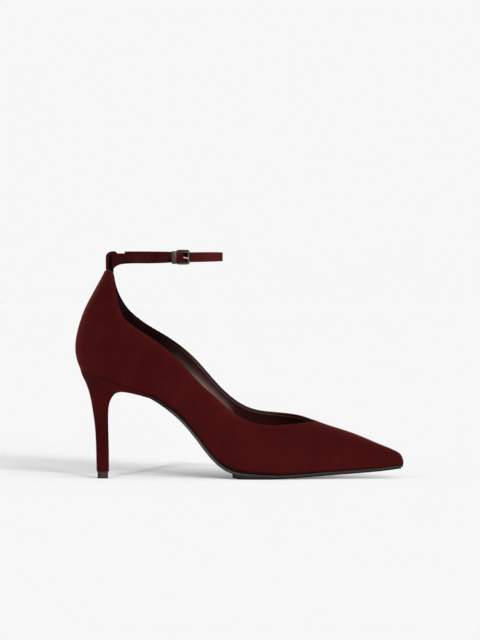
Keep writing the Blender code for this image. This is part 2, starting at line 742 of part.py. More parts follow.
def make_keeper():
    """The metal keeper: a band round all layers of the strap behind the buckle."""
    half_turn = math.degrees(KEEPER_WIDTH / 2 / OVAL_FRONT) * 1.05
    low = FRAME_MID_Z - 4.1
    high = FRAME_MID_Z + 3.9
    inner = -2.95
    outer = 3.5
    rings = []
    corners = ((inner, low, -1, -1), (outer, low, 1, -1), (outer, high, 1, 1), (inner, high, -1, 1))
    for out, height, out_sign, up_sign in corners:
        ring = []
        for turn, wall in ((-1, 0), (-1, 1), (1, 1), (1, 0)):
            place = oval(KEEPER_TURN + turn * half_turn, out + out_sign * wall * KEEPER_THICK)
            ring.append(plan_point(place, height + up_sign * wall * KEEPER_THICK))
        rings.append(ring)
    return loft("strap_keeper", "satin_metal", rings, closed=True)


def make_strap_loop():
    """The loop on top of the heel tab that the strap runs through."""
    path = [Vector((row.back, row.z)) for row in LOOP_ROWS]
    path += [Vector((-row.front, row.z)) for row in LOOP_ROWS[::-1]]
    walls = column(LOOP_ROWS, "wall")
    walls += walls[::-1]
    middle = sum(path, Vector((0.0, 0.0))) / len(path)
    turns = np.linspace(-LOOP_HALF_TURN, LOOP_HALF_TURN, 5)
    rings = []
    for i in range(len(path)):
        ahead = path[(i + 1) % len(path)] - path[i - 1]
        aside = Vector((ahead.y, -ahead.x)).normalized()
        if aside.dot(path[i] - middle) < 0:
            aside = -aside
        spot = path[i] + aside * walls[i]
        ring = [plan_point(oval(turn, path[i].x), path[i].y) for turn in turns]
        ring += [plan_point(oval(turn, spot.x), spot.y) for turn in turns[::-1]]
        rings.append(ring)
    return loft("strap_loop", "suede", rings, closed=True)


def cut_prong_way(strap):
    """The slot in the folded end and the hole in the strap that the prong passes through."""
    path = prong_path()
    before = path[0][0] * 1.8 - path[1][0] * 0.8
    path = [(before, PRONG_EYE_Z)] + path
    way = rod("prong_way", "gunmetal", path, PRONG_RADIUS + PRONG_CLEARANCE)
    way.hide_render = True
    way.display_type = "WIRE"
    cut = strap.modifiers.new("prong_way", "BOOLEAN")
    cut.operation = "DIFFERENCE"
    cut.solver = "EXACT"
    cut.object = way
    return way


def main():
    for old in list(bpy.data.objects):
        bpy.data.objects.remove(old)
    pieces = [make_upper(), make_insole(), make_outsole(), make_tread(), make_heel(), make_top_piece()]
    strap = make_ankle_strap()
    prong = rod("buckle_prong", "satin_metal", prong_path(), PRONG_RADIUS)
    pieces += [strap, make_strap_loop(), make_buckle_frame(), prong, make_keeper()]
    way = cut_prong_way(strap)
    corners = np.array([vertex.co for piece in pieces for vertex in piece.data.vertices])
    middle = (corners.min(axis=0) + corners.max(axis=0)) / 2
    move = Matrix.Translation((-middle[0], -middle[1], -corners[:, 2].min()))
    for piece in pieces + [way]:
        piece.data.transform(move)


main()
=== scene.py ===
# %% [markdown]
# # A suede pump with an ankle strap
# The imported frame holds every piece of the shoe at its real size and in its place: upper, insole, sole,
# heel, strap and buckle. This lesson dresses that frame. Each step takes one piece, says what it is on the
# real shoe, and gives it the rounded edges, folds, wear and finish that the plain solid leaves out.

# %% Load the frame
import json
import math
from collections import namedtuple

import bpy
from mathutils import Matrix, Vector, kdtree

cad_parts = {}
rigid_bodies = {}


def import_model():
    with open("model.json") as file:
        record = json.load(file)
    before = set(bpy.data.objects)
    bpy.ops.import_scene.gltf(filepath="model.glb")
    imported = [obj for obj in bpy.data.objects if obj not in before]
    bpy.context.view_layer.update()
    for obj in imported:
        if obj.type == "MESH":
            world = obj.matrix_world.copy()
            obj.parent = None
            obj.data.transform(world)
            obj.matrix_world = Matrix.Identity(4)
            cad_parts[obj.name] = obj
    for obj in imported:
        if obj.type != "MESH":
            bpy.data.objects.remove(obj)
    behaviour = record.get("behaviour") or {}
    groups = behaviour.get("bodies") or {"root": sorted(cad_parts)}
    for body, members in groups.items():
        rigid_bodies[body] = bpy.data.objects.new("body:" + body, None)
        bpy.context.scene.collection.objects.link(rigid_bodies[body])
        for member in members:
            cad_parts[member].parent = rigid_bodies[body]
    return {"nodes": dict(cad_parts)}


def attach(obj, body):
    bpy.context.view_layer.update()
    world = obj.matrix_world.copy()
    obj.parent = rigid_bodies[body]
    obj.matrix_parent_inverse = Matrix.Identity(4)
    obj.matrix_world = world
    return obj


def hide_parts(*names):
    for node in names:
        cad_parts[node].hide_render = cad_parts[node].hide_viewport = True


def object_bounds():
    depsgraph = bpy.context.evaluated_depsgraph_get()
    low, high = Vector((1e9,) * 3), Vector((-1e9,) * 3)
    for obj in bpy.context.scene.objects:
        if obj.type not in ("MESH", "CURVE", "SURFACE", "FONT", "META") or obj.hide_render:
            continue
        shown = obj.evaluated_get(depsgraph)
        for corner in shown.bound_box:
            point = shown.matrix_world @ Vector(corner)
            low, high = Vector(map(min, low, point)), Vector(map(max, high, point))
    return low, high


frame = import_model()
cad_low, cad_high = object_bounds()
MM = 0.001
scene = bpy.context.scene
print("frame:", ", ".join(sorted(frame["nodes"])))
print("frame size in mm:", [round(side / MM, 1) for side in cad_high - cad_low])

# %% [markdown]
# ## Camera
# A shoe for sale is shown square from its outer side, from far away with a long lens, so that near and far
# edges almost cover each other. A short lens from close by would fill the picture as well, but it would
# swell the ankle strap. The camera stands a little below the strap's height and tips down by a hair.

# %% Camera
CAMERA_AWAY = 4.4
CAMERA_PLACE = Vector((0.55 * MM, -CAMERA_AWAY, 140.0 * MM))
CAMERA_AIM = Vector((0.55 * MM, 0.0, 121.7 * MM))
SENSOR_WIDTH = 36.0
PICTURE_HEIGHT = 640
METRES_PER_PIXEL = 0.7685 * MM
bpy.ops.object.camera_add(location=CAMERA_PLACE)
camera = bpy.context.object
camera.name = "camera"
camera.rotation_euler = (CAMERA_AIM - CAMERA_PLACE).to_track_quat("-Z", "Y").to_euler()
camera.data.sensor_width = SENSOR_WIDTH
camera.data.lens = SENSOR_WIDTH * CAMERA_AWAY / (PICTURE_HEIGHT * METRES_PER_PIXEL)
camera.data.clip_end = 400.0
scene.camera = camera
print("camera lens in mm:", round(camera.data.lens, 1))

# %% [markdown]
# ## Floor and sky
# The shoe stands on a pale seamless floor. A curved paper sweep would do, but a wide plane under an open sky
# gives the same picture with no edge to hide. The studio is brighter on the camera's side, so the floor in
# front of the shoe stays clean and the shade gathers behind it. What the camera sees of the sky is one even
# grey, a shade that joins the floor without a line.

# %% Floor and sky
FLOOR_SIDE = 240.0
FLOOR_SHADE = 0.93
SKY_SEEN = 0.9301
SKY_FRONT = 0.465
SKY_BACK = 0.11

bpy.ops.mesh.primitive_plane_add(size=FLOOR_SIDE)
floor = bpy.context.object
floor.name = "floor"
paper = bpy.data.materials.new("floor_paper")
paper.use_nodes = True
paper.node_tree.nodes["Principled BSDF"].inputs["Base Color"].default_value = (FLOOR_SHADE,) * 3 + (1.0,)
paper.node_tree.nodes["Principled BSDF"].inputs["Roughness"].default_value = 1.0
paper.node_tree.nodes["Principled BSDF"].inputs["Specular IOR Level"].default_value = 0.0
floor.data.materials.append(paper)

sky = bpy.data.worlds.new("studio")
sky.use_nodes = True
scene.world = sky
sky_nodes = sky.node_tree.nodes
sky_links = sky.node_tree.links
look = sky_nodes.new("ShaderNodeTexCoord")
parts = sky_nodes.new("ShaderNodeSeparateXYZ")
front_to_back = sky_nodes.new("ShaderNodeMapRange")
for name, number in (("From Min", -1.0), ("From Max", 1.0), ("To Min", SKY_FRONT), ("To Max", SKY_BACK)):
    front_to_back.inputs[name].default_value = number
sky_light = sky_nodes["Background"]
sky_light.inputs["Color"].default_value = (1.0, 1.0, 1.0, 1.0)
sky_seen = sky_nodes.new("ShaderNodeBackground")
sky_seen.inputs["Color"].default_value = (SKY_SEEN,) * 3 + (1.0,)
ray = sky_nodes.new("ShaderNodeLightPath")
either = sky_nodes.new("ShaderNodeMixShader")
sky_links.new(look.outputs["Generated"], parts.inputs["Vector"])
sky_links.new(parts.outputs["Y"], front_to_back.inputs["Value"])
sky_links.new(front_to_back.outputs["Result"], sky_light.inputs["Strength"])
sky_links.new(ray.outputs["Is Camera Ray"], either.inputs["Fac"])
sky_links.new(sky_light.outputs["Background"], either.inputs[1])
sky_links.new(sky_seen.outputs["Background"], either.inputs[2])
sky_links.new(either.outputs["Shader"], sky_nodes["World Output"].inputs["Surface"])
scene.view_settings.view_transform = "Standard"
print("sky from front to back:", SKY_FRONT, SKY_BACK)

# %% [markdown]
# ## Lamps
# Suns stand for the studio's lamps, because a sun's shadow has the same softness everywhere. A low wide
# window and four narrow strips beside and above each other throw the long shadow to the left: sharp at the
# side, soft towards its end. They are so low that they would burn the shoe's side out. So light linking lets
# them fall on the floor alone, and the shoe has a milder pair of its own. One more floor lamp draws the thin
# shadow of the heel, and a wide fill and a top light reach everything.


# %% Suns
lit_floor = bpy.data.collections.new("lit_floor")
lit_shoe = bpy.data.collections.new("lit_shoe")
heel_shade = bpy.data.collections.new("heel_shade")
lit_floor.objects.link(floor)


def add_sun(name, height, side, power, softness, lit=None, shaded_by=None):
    """A sun at so many degrees above the floor and so many to the right of the camera."""
    bpy.ops.object.light_add(type="SUN", location=(1.0, -3.0, 2.0))
    sun = bpy.context.object
    sun.name = name
    rise = math.radians(height)
    turn = math.radians(side)
    travel = Vector((-math.sin(turn) * math.cos(rise), math.cos(turn) * math.cos(rise), -math.sin(rise)))
    sun.rotation_euler = travel.to_track_quat("-Z", "Y").to_euler()
    sun.data.energy = power
    sun.data.angle = math.radians(softness)
    sun.light_linking.receiver_collection = lit
    sun.light_linking.blocker_collection = shaded_by
    print(f"{name}: {height} degrees high, {side} degrees to the right, power {power}")


add_sun("window_light", 5, 33, 5.50, 12, lit_floor)
add_sun("strip_light_low", 6, 18, 1.40, 6, lit_floor)
add_sun("strip_light_middle", 9.8, 12, 2.75, 6, lit_floor)
add_sun("strip_light_left", 11, 5, 0.85, 6, lit_floor)
add_sun("strip_light_high", 24, 15, 0.46, 9, lit_floor)
add_sun("heel_light", 10.6, -8.6, 2.55, 1, lit_floor, heel_shade)
add_sun("shoe_light", 18, 20, 1.80, 12, lit_shoe)
add_sun("shoe_fill", 12, -40, 0.95, 40, lit_shoe)
add_sun("fill_light", 15, -45, 0.61, 60)
add_sun("top_light", 42, 12, 0.235, 25)

# %% [markdown]
# ## Helpers for work in edit mode
# An operator acts on all that is selected, so each step first leaves one piece selected. A frame node is
# loose triangles. Its copy is welded and its triangles are paired back into quads, which subdivide and
# bevel far better. Seams are laid along the sharp edges, so that one picked face stands for its whole panel.
# Faces could be picked by number instead, but numbers change with every new frame.


# %% Edit helpers
def only(piece):
    """Leaves one piece selected and active, in object mode."""
    if bpy.context.mode != "OBJECT":
        bpy.ops.object.mode_set(mode="OBJECT")
    bpy.ops.object.select_all(action="DESELECT")
    piece.select_set(True)
    bpy.context.view_layer.objects.active = piece


def edit(piece, mode="FACE", action="DESELECT"):
    """Opens a piece in edit mode with nothing, or everything, selected."""
    only(piece)
    bpy.ops.object.mode_set(mode="EDIT")
    bpy.ops.mesh.select_mode(type=mode)
    bpy.ops.mesh.select_all(action=action)


def leave():
    """Back to object mode."""
    bpy.ops.object.mode_set(mode="OBJECT")


def copy_of(node, name):
    """A welded copy of a frame node in quads, as a piece of its own."""
    piece = bpy.data.objects.new(name, frame["nodes"][node].data.copy())
    scene.collection.objects.link(piece)
    piece.data.name = name
    piece.data.materials.clear()
    edit(piece, action="SELECT")
    bpy.ops.mesh.customdata_custom_splitnormals_clear()
    bpy.ops.mesh.mark_sharp(clear=True)
    bpy.ops.mesh.remove_doubles(threshold=0.001 * MM)
    flat, square = math.radians(40), math.radians(70)
    bpy.ops.mesh.tris_convert_to_quads(face_threshold=flat, shape_threshold=square)
    leave()
    return piece


def seam_sharp(piece, degrees=50):
    """Lays a seam along every edge that is sharper than an angle."""
    edit(piece, "EDGE")
    bpy.ops.mesh.edges_select_sharp(sharpness=math.radians(degrees))
    bpy.ops.mesh.mark_seam(clear=False)
    leave()


def pick_panel(piece, measure):
    """In edit mode, selects the panel round the face that measures most, out to its seams."""
    edit(piece, "FACE")
    leave()
    max(piece.data.polygons, key=measure).select = True
    bpy.ops.object.mode_set(mode="EDIT")
    bpy.ops.mesh.select_linked(delimit={"SEAM"})


# %% [markdown]
# ## Helpers that shape and dress a piece
# A maker rounds edges, pads a form or trims its size, and at last finishes it. Modifiers are applied at once,
# so that the next step works on real corners. Rounding takes a little off a form, and fattening it first
# gives that back. Dressing is always the same: smooth shading, one material, and what the frame has to know.


# %% Shaping helpers
def add_modifier(piece, kind, **values):
    """Adds a modifier with these values and applies it."""
    only(piece)
    modifier = piece.modifiers.new(kind.lower(), kind)
    for name, value in values.items():
        setattr(modifier, name, value)
    bpy.ops.object.modifier_apply(modifier=modifier.name)


def round_form(piece, levels):
    """Subdivides a piece into a smooth form."""
    add_modifier(piece, "SUBSURF", levels=levels, render_levels=levels)


def ease_edges(piece, width, degrees=40, segments=2):
    """Rounds every edge that is sharper than an angle."""
    add_modifier(
        piece, "BEVEL", width=width, segments=segments, limit_method="ANGLE",
        angle_limit=math.radians(degrees), use_clamp_overlap=True, harden_normals=False,
    )


def middle(piece):
    """The middle of a piece's box."""
    sides = zip(*(corner.co for corner in piece.data.vertices))
    return [(min(side) + max(side)) / 2 for side in sides]


def resize(piece, scale):
    """Scales a whole piece about its middle."""
    edit(piece, action="SELECT")
    bpy.ops.transform.resize(value=scale, center_override=middle(piece))
    leave()


def move(piece, way):
    """Moves a whole piece by so many metres along X, Y and Z."""
    edit(piece, action="SELECT")
    bpy.ops.transform.translate(value=way)
    leave()


def fatten(piece, depth):
    """Moves every face of a piece outwards, to make up for what rounding takes away."""
    edit(piece, action="SELECT")
    bpy.ops.transform.shrink_fatten(value=depth)
    leave()


def dress(piece, finish, slot, *nodes, smooth=60):
    """Gives a finished piece its material, its body and the nodes that it stands for. The slot is not used.
    """
    only(piece)
    bpy.ops.object.shade_smooth_by_angle(angle=math.radians(smooth))
    piece.data.materials.clear()
    piece.data.materials.append(finish)
    lit_shoe.objects.link(piece)
    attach(piece, "root")
    if nodes:
        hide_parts(*nodes)
    print(f"{piece.name}: {len(piece.data.polygons)} faces in {finish.name}")


# %% [markdown]
# ## Helpers for soft forms and painted marks
# Leather on a last is never quite even. A swelling pushes corners along their normals, each by its share,
# and a soft line gives that share for a long low form laid between two places of the shoe. Painted shade,
# painted highlights and a darker fold lie along a seam or an edge, so each corner is also told how far it is
# from such a line. The materials read that as an attribute. Painting by hand would do the same, but couldn't
# be repeated.


# %% Form helpers
def clamp(value):
    """A value held between 0 and 1."""
    return min(1.0, max(0.0, value))


def between(value, low, high):
    """How far a value is on its way from low to high, from 0 to 1. Both ends are in millimetres."""
    return clamp((value / MM - low) / (high - low))


def border_line(piece, measure):
    """The edges round a panel, each as its two end places."""
    pick_panel(piece, measure)
    bpy.ops.mesh.region_to_loop()
    leave()
    corners = piece.data.vertices
    border = [edge for edge in piece.data.edges if edge.select]
    return {tuple(sorted(tuple(corners[end].co) for end in edge.vertices)) for edge in border}


def gaps_to(piece, line, dots=8):
    """The distance of each corner of a piece to a line of edges."""
    places = [Vector(a).lerp(Vector(b), dot / dots) for a, b in line for dot in range(dots)]
    tree = kdtree.KDTree(len(places))
    for number, place in enumerate(places):
        tree.insert(place, number)
    tree.balance()
    return [tree.find(corner.co)[2] for corner in piece.data.vertices]


def mark(piece, name, values):
    """Stores one value between 0 and 1 on each corner."""
    layer = piece.data.attributes.new(name, "FLOAT", "POINT")
    layer.data.foreach_set("value", [clamp(value) for value in values])


def swell(piece, share, rise):
    """Moves each corner along its normal, by its share of a rise in metres, and gives back the shares."""
    moves = [(share(corner), corner.normal.copy()) for corner in piece.data.vertices]
    for corner, (part, normal) in zip(piece.data.vertices, moves):
        corner.co += normal * rise * part
    return [part for part, normal in moves]


def soft_line(start, end, half_width):
    """A share that is 1 on a line in the shoe's side view and fades over a half width, on the inner side."""
    start, end = Vector(start) * MM, Vector(end) * MM

    def share(corner):
        seen = Vector((corner.co.x, corner.co.z))
        along = (seen - start).dot(end - start) / (end - start).length_squared
        gap = (seen - start.lerp(end, clamp(along))).length
        fade = math.cos(0.5 * math.pi * clamp(gap / (half_width * MM))) ** 2
        return fade * between(corner.co.y, 2, 8)

    return share


# %% [markdown]
# ## Helpers for nodes
# A finish is a small network of nodes: noise, a range that stretches it, and sums. Each helper adds one node,
# sets its numbers and hands on its output, so a network reads like a line of arithmetic. Dragging nodes by
# hand gives the same, but a script can be read from top to bottom.


# %% Node helpers
def new_group(name, outputs):
    """A shader node group with named float outputs, and its output node."""
    group = bpy.data.node_groups.new(name, "ShaderNodeTree")
    for output in outputs:
        group.interface.new_socket(name=output, in_out="OUTPUT", socket_type="NodeSocketFloat")
    return group, group.nodes.new("NodeGroupOutput")


def noise(tree, place, scale, detail=2.0, roughness=0.5):
    """A noise texture at so many waves a metre."""
    node = tree.nodes.new("ShaderNodeTexNoise")
    node.inputs["Scale"].default_value = scale
    node.inputs["Detail"].default_value = detail
    node.inputs["Roughness"].default_value = roughness
    tree.links.new(place, node.inputs["Vector"])
    return node.outputs["Fac"]


def turned(tree, place, scale, rotation=(0.0, 0.0, 0.0)):
    """Coordinates that are stretched and turned."""
    node = tree.nodes.new("ShaderNodeMapping")
    node.inputs["Scale"].default_value = scale
    node.inputs["Rotation"].default_value = rotation
    tree.links.new(place, node.inputs["Vector"])
    return node.outputs["Vector"]


def spread(tree, value, low, high, start, end):
    """A value mapped from one range to another."""
    node = tree.nodes.new("ShaderNodeMapRange")
    for name, number in (("From Min", low), ("From Max", high), ("To Min", start), ("To Max", end)):
        node.inputs[name].default_value = number
    tree.links.new(value, node.inputs["Value"])
    return node.outputs["Result"]


def join(tree, operation, first, second):
    """Two values through one math step. The second may be a plain number."""
    node = tree.nodes.new("ShaderNodeMath")
    node.operation = operation
    tree.links.new(first, node.inputs[0])
    if isinstance(second, (int, float)):
        node.inputs[1].default_value = second
    else:
        tree.links.new(second, node.inputs[1])
    return node.outputs["Value"]


# %% [markdown]
# ## Suede nap
# Suede is the brushed inner side of a hide. It has no gloss, its colour drifts in soft clouds where the nap
# lies one way or the other, and close up it is a felt of short fibres. A picture of suede would repeat, so
# noise in the piece's own coordinates gives three scales: clouds, brush strokes and fibres. They are one node
# group, because upper, heel, strap and loop all share them.

# %% Nap group
nap, nap_out = new_group("nap", ("Shade", "Height"))
place = nap.nodes.new("ShaderNodeTexCoord").outputs["Object"]
clouds = spread(nap, noise(nap, place, 38.0, 3.0), 0.3, 0.7, 0.0, 0.45)
lay = turned(nap, place, (1.0, 1.0, 0.32), (0.0, 0.5, 0.0))
strokes = spread(nap, noise(nap, lay, 210.0, 2.0), 0.3, 0.7, 0.0, 0.25)
fibres = noise(nap, place, 1900.0, 3.0, 0.65)
shade = join(nap, "ADD", clouds, strokes)
shade = join(nap, "ADD", shade, join(nap, "MULTIPLY", fibres, 0.3))
nap.links.new(shade, nap_out.inputs["Shade"])
nap.links.new(fibres, nap_out.inputs["Height"])
print("nap group:", len(nap.nodes), "nodes")

# %% [markdown]
# ## Helpers for materials
# Every finish starts from Blender's Principled shader. Numbers that stay the same are set on the shader
# itself, and only what changes from place to place comes through nodes. Marks that a piece carries are read
# by name, and a bump gives fibres and pores without any geometry.


# %% Material helpers
def new_material(name, roughness, metallic=0.0):
    """A material and its shader, with plain numbers set on the shader itself."""
    made = bpy.data.materials.new(name)
    made.use_nodes = True
    shader = made.node_tree.nodes["Principled BSDF"]
    shader.inputs["Roughness"].default_value = roughness
    shader.inputs["Metallic"].default_value = metallic
    return made, shader


def place_group(material, group):
    """A node group set into a material."""
    node = material.node_tree.nodes.new("ShaderNodeGroup")
    node.node_tree = group
    return node


def colour_ramp(material, factor, *stops):
    """A colour that runs through stops of (place, red, green, blue) with a factor."""
    ramp = material.node_tree.nodes.new("ShaderNodeValToRGB")
    steps = ramp.color_ramp.elements
    while len(steps) < len(stops):
        steps.new(0.5)
    for step, (place, *colour) in zip(steps, stops):
        step.position = place
        step.color = (*colour, 1.0)
    material.node_tree.links.new(factor, ramp.inputs["Fac"])
    return ramp.outputs["Color"]


def marked(material, name):
    """The value that mark() stored on the piece."""
    node = material.node_tree.nodes.new("ShaderNodeAttribute")
    node.attribute_name = name
    return node.outputs["Fac"]


def bump(material, shader, height, strength, distance):
    """A bump of so many metres on the shader's normal."""
    node = material.node_tree.nodes.new("ShaderNodeBump")
    node.inputs["Strength"].default_value = strength
    node.inputs["Distance"].default_value = distance
    material.node_tree.links.new(height, node.inputs["Height"])
    material.node_tree.links.new(node.outputs["Normal"], shader.inputs["Normal"])


# %% [markdown]
# ## Suede
# The nap turns into a tone, and the tone runs through a short ramp of colours. A painted highlight and the
# paler throat rim raise the tone, and the darker fold and painted shade lower it. A few soft spots, set about
# given points of the shoe, paint more shade, and one paints light. A painted map could hold them too, but
# points and sizes can be read and moved. Sheen stands for the fibre ends that catch light where the nap is
# seen edge on.

# %% The suede material
# A painted shade is darkest within its inner reach of a point and gone at its outer reach, all in
# millimetres.
# Below 0 its depth paints light instead. It is round, or so many times as tall.
Shade = namedtuple("Shade", "point inner outer depth tall", defaults=(1.0,))


def painted_shade_at(tree, spot):
    """How much one painted shade takes from the tone at each place."""
    x, y, z = spot.point
    reach = tree.nodes.new("ShaderNodeVectorMath")
    reach.operation = "DISTANCE"
    place = turned(tree, tree.nodes.new("ShaderNodeTexCoord").outputs["Object"], (1.0, 1.0, 1.0 / spot.tall))
    tree.links.new(place, reach.inputs[0])
    reach.inputs[1].default_value = Vector((x, y, z / spot.tall)) * MM
    return spread(tree, reach.outputs["Value"], spot.inner * MM, spot.outer * MM, spot.depth, 0.0)


NAP_TONES = (0.3, 0.8)
# Painted light raises the tone, the darker fold and painted shade lower it, and the throat's rim turns paler.
PAINTED_LIGHT_SHADE_AND_RIM_MARKS = (("painted_light_and_end_dye", "ADD", 0.3), ("dark_fold_and_painted_shade", "SUBTRACT", 0.7), ("paler_throat_rim", "ADD", 0.95))
SHEEN_ROUGHNESS = 0.37
SHEEN_TINT = (0.60, 0.12, 0.11, 1.0)


def suede(name, tone_stops, painted_shades, sheen):
    """Suede: fold and painted shade are darkest, then the nap from dark to light, and painted light lightest.
    """
    made, shader = new_material(name, 0.95)
    tree = made.node_tree
    fur = place_group(made, nap)
    tone = spread(tree, fur.outputs["Shade"], 0.0, 1.0, *NAP_TONES)
    for mark_name, operation, weight in PAINTED_LIGHT_SHADE_AND_RIM_MARKS:
        tone = join(tree, operation, tone, join(tree, "MULTIPLY", marked(made, mark_name), weight))
    for spot in painted_shades:
        tone = join(tree, "SUBTRACT", tone, painted_shade_at(tree, spot))
    tree.links.new(colour_ramp(made, tone, *tone_stops), shader.inputs["Base Color"])
    bump(made, shader, fur.outputs["Height"], 0.35, 0.12 * MM)
    shader.inputs["Specular IOR Level"].default_value = 0.02
    shader.inputs["Sheen Weight"].default_value = sheen
    shader.inputs["Sheen Roughness"].default_value = SHEEN_ROUGHNESS
    shader.inputs["Sheen Tint"].default_value = SHEEN_TINT
    return made


# %% [markdown]
# ## Dyes, painted shade and painted light
# Upper and heel are cut from one burgundy hide. The strap's ramp is lighter, as painted light, and the loop's
# darker, as painted shade, so each has a ramp of its own. The painted shades darken the turn of counter and
# heel, the crease beside the loop, the stretch of strap behind the buckle and the gaps about the buckle,
# where shade falls. One spot paints light on the front of the strap. The sheen is strong on the wide upper,
# weaker on the heel and faint on the strap. One suede for all would be simpler, but it would match none of
# them.

# %% Dyes, painted shade and painted light of the suede
# Each ramp lists tone, red, green and blue. The lightest burgundies are reached by the painted highlight
# and by the paler rim along the throat.
BURGUNDY = (
    (0.0, 0.0055, 0.0020, 0.0019), (0.4, 0.0315, 0.0027, 0.0027), (0.7, 0.0420, 0.0039, 0.0039),
    (0.9, 0.0490, 0.0064, 0.0064), (1.0, 0.0340, 0.0180, 0.0180),
)
# The strap's ramp is lighter than the burgundy, as painted light, and the loop's is darker, as painted shade.
STRAP_TONES_PAINTED_LIGHTER = (
    (0.0, 0.0022, 0.0005, 0.0005), (0.4, 0.0420, 0.0054, 0.0060), (0.7, 0.0630, 0.0086, 0.0094),
    (0.9, 0.0760, 0.0108, 0.0122),
)
LOOP_TONES_PAINTED_DARKER = (
    (0.0, 0.0022, 0.0006, 0.0006), (0.4, 0.0270, 0.0035, 0.0037), (0.7, 0.0400, 0.0058, 0.0062),
    (0.9, 0.0480, 0.0085, 0.0090),
)
# Spots of painted shade where less light falls; the strap's fifth spot paints light on its front.
COUNTER_PAINTED_SHADE = Shade((-110, -30, 105), 25, 75, 0.08)
HEEL_PAINTED_SHADES = (Shade((-112, -4, 42), 12, 60, 0.14), Shade((-101, -6, 54), 1, 6, 0.2, 3))
LOOP_PAINTED_SHADOW = Shade((-98.6, -8, 165), 1.5, 3.2, 0.5, 3)
STRAP_PAINTED_LIGHT_AND_SHADE = (
    Shade((-80, -20, 170), 30, 52, 0.24),
    Shade((-88, -22, 170), 12, 30, 0.12),
    Shade((-98.5, -8, 165.5), 1.5, 3.2, 0.36, 3),
    Shade((-39.5, -29, 167.3), 1.0, 2.6, 0.6),
    Shade((-12.7, -4, 170), 4, 28, -0.6),
    Shade((-41.2, -29, 171.6), 0.8, 3.2, 0.45),
    Shade((-52.2, -30, 167), 0.8, 3.6, 0.4, 2),
)
burgundy_suede = suede("burgundy_suede", BURGUNDY, (COUNTER_PAINTED_SHADE,), sheen=0.48)
heel_suede = suede("heel_suede", BURGUNDY, HEEL_PAINTED_SHADES, sheen=0.22)
strap_suede = suede("strap_suede", STRAP_TONES_PAINTED_LIGHTER, STRAP_PAINTED_LIGHT_AND_SHADE, sheen=0.03)
loop_suede = suede("loop_suede", LOOP_TONES_PAINTED_DARKER, (LOOP_PAINTED_SHADOW,), sheen=0.03)
print("suedes:", burgundy_suede.name, heel_suede.name, strap_suede.name, loop_suede.name)

# %% [markdown]
# ## Grain
# Smooth leather has a fine grain: round pores with wrinkles between them. A Voronoi texture scatters the
# pores and a noise draws the wrinkles. A picture of leather would show the same, but only at one distance.

# %% Grain group and plain leather
grain, grain_out = new_group("grain", ("Shade", "Height"))
place = grain.nodes.new("ShaderNodeTexCoord").outputs["Object"]
pores = grain.nodes.new("ShaderNodeTexVoronoi")
pores.feature = "SMOOTH_F1"
pores.inputs["Scale"].default_value = 1150.0
pores.inputs["Smoothness"].default_value = 0.4
grain.links.new(place, pores.inputs["Vector"])
wrinkle = noise(grain, place, 240.0, 4.0, 0.6)
height = join(grain, "ADD", join(grain, "MULTIPLY", pores.outputs["Distance"], 0.6), wrinkle)
grain.links.new(height, grain_out.inputs["Height"])
grain.links.new(spread(grain, noise(grain, place, 70.0, 3.0), 0.3, 0.7, 0.0, 1.0), grain_out.inputs["Shade"])


def leather(name, dark, light, roughness, gloss):
    """Grained leather or rubber between two shades."""
    made, shader = new_material(name, roughness)
    skin = place_group(made, grain)
    colour = colour_ramp(made, skin.outputs["Shade"], (0.0, *dark), (1.0, *light))
    made.node_tree.links.new(colour, shader.inputs["Base Color"])
    bump(made, shader, skin.outputs["Height"], 0.25, 0.05 * MM)
    shader.inputs["Specular IOR Level"].default_value = gloss
    return made


sock_leather = leather("sock_leather", (0.012, 0.0045, 0.0040), (0.020, 0.0075, 0.0065), 0.5, 0.15)
black_rubber = leather("black_rubber", (0.008, 0.0085, 0.009), (0.012, 0.0125, 0.013), 0.6, 0.06)
top_rubber = leather("top_rubber", (0.018, 0.0145, 0.0120), (0.027, 0.022, 0.0185), 0.65, 0.15)
print("plain leather and rubber:", sock_leather.name, black_rubber.name, top_rubber.name)

# %% [markdown]
# ## Leather that changes along the shoe
# The lining is dark, painted darker towards the heel as shade, and a third colour is its painted highlight.
# Its gloss is a coat that is strongest along the arch and worn dull towards heel and toe. The painted edge
# of the sole pales towards the waist. The cut edge of the lining is painted pale as a highlight, and dark at
# the heel as painted shade.
# One material with a gradient along X does this. Several materials side by side would show where they meet.

# %% Graded leather
COAT_ROUGHNESS = 0.32
COAT_IOR = 1.7


def graded_leather(name, start, end, colours, roughness, gloss, dull=None):
    """Leather whose colour and gloss change from a start to an end along the shoe, in millimetres.

    A third colour shows where the piece is marked: a painted highlight on the lining, the dark red end on the
    sole. The gloss may be dulled once more: from, to and how much is left.
    """
    made, shader = new_material(name, roughness)
    tree = made.node_tree
    skin = place_group(made, grain)
    parts = tree.nodes.new("ShaderNodeSeparateXYZ")
    tree.links.new(tree.nodes.new("ShaderNodeTexCoord").outputs["Object"], parts.inputs["Vector"])
    tone = spread(tree, parts.outputs["X"], start * MM, end * MM, 0.0, 0.5)
    tone = join(tree, "ADD", tone, join(tree, "MULTIPLY", skin.outputs["Shade"], 0.1))
    shine = spread(tree, tone, 0.0, 0.6, gloss[0], gloss[1])
    if dull:
        dulled = spread(tree, parts.outputs["X"], dull[0] * MM, dull[1] * MM, 1.0, dull[2])
        shine = join(tree, "MULTIPLY", shine, dulled)
    tree.links.new(shine, shader.inputs["Coat Weight"])
    tone = join(tree, "ADD", tone, marked(made, "painted_light_and_end_dye"))
    stops = zip((0.0, 0.6, 1.0), colours)
    colour = colour_ramp(made, tone, *((place, *colour) for place, colour in stops))
    tree.links.new(colour, shader.inputs["Base Color"])
    shader.inputs["Coat Roughness"].default_value = COAT_ROUGHNESS
    shader.inputs["Coat IOR"].default_value = COAT_IOR
    shader.inputs["Specular IOR Level"].default_value = 0.04
    bump(made, shader, skin.outputs["Height"], 0.2, 0.05 * MM)
    return made


